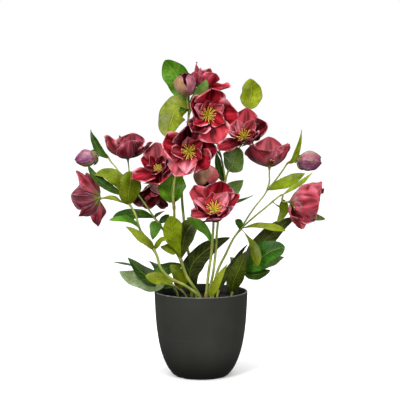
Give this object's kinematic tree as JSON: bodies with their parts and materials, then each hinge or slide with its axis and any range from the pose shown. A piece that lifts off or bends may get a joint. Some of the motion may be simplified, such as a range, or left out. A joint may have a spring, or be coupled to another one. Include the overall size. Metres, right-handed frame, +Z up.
{
  "type": "potted hellebore plant",
  "caption": "Flowering hellebore with crimson cupped blooms, buds and divided green leaves on slender stems, in a round matt black pot filled with potting mix.",
  "frame": {"origin": "centre of the pot's flat base, on the surface that it stands on", "axes": "+Z up, -Y towards the side that most flowers face, +X to the right seen from there"},
  "size_m": [0.3603, 0.2044, 0.4451],
  "materials": {
    "pot": "matt, slightly grained",
    "potting_mix": "rough, crumbly",
    "stem_green": "satin",
    "leaf_dark": "satin",
    "petal": "soft, veined",
    "stamen": "soft",
    "bud": "satin"
  },
  "bodies": {
    "root": {"pot": "pot", "potting_mix": "potting_mix", "stem_far_left": "stem_green", "stem_left": "stem_green", "stem_front": "stem_green", "stem_right": "stem_green", "stem_back": "stem_green", "leaf_front": "stem_green", "leaf_centre": "leaf_dark", "leaf_left": "leaf_dark", "leaf_right": "leaf_dark", "leaf_back_left": "leaf_dark", "leaf_back_right": "leaf_dark", "bloom_crown_petals": "petal", "bloom_crown_stamens": "stamen", "bloom_heart_petals": "petal", "bloom_heart_stamens": "stamen", "bloom_right_high_petals": "petal", "bloom_right_high_stamens": "stamen", "bloom_front_low_petals": "petal", "bloom_front_low_stamens": "stamen", "bloom_left_mid_petals": "petal", "bloom_left_mid_stamens": "stamen", "bloom_left_cup_petals": "petal", "bloom_left_cup_stamens": "stamen", "bloom_right_cup_petals": "petal", "bloom_right_cup_stamens": "stamen", "bloom_far_left_petals": "petal", "bloom_far_left_stamens": "stamen", "bloom_far_right_petals": "petal", "bloom_far_right_stamens": "stamen", "bloom_top_back_petals": "petal", "bloom_top_back_stamens": "stamen", "bloom_nodding_petals": "petal", "bloom_nodding_stamens": "stamen", "bud_top": "bud", "bud_hanging": "bud", "bud_left": "bud", "bud_right": "bud"}
  },
  "joints": []
}
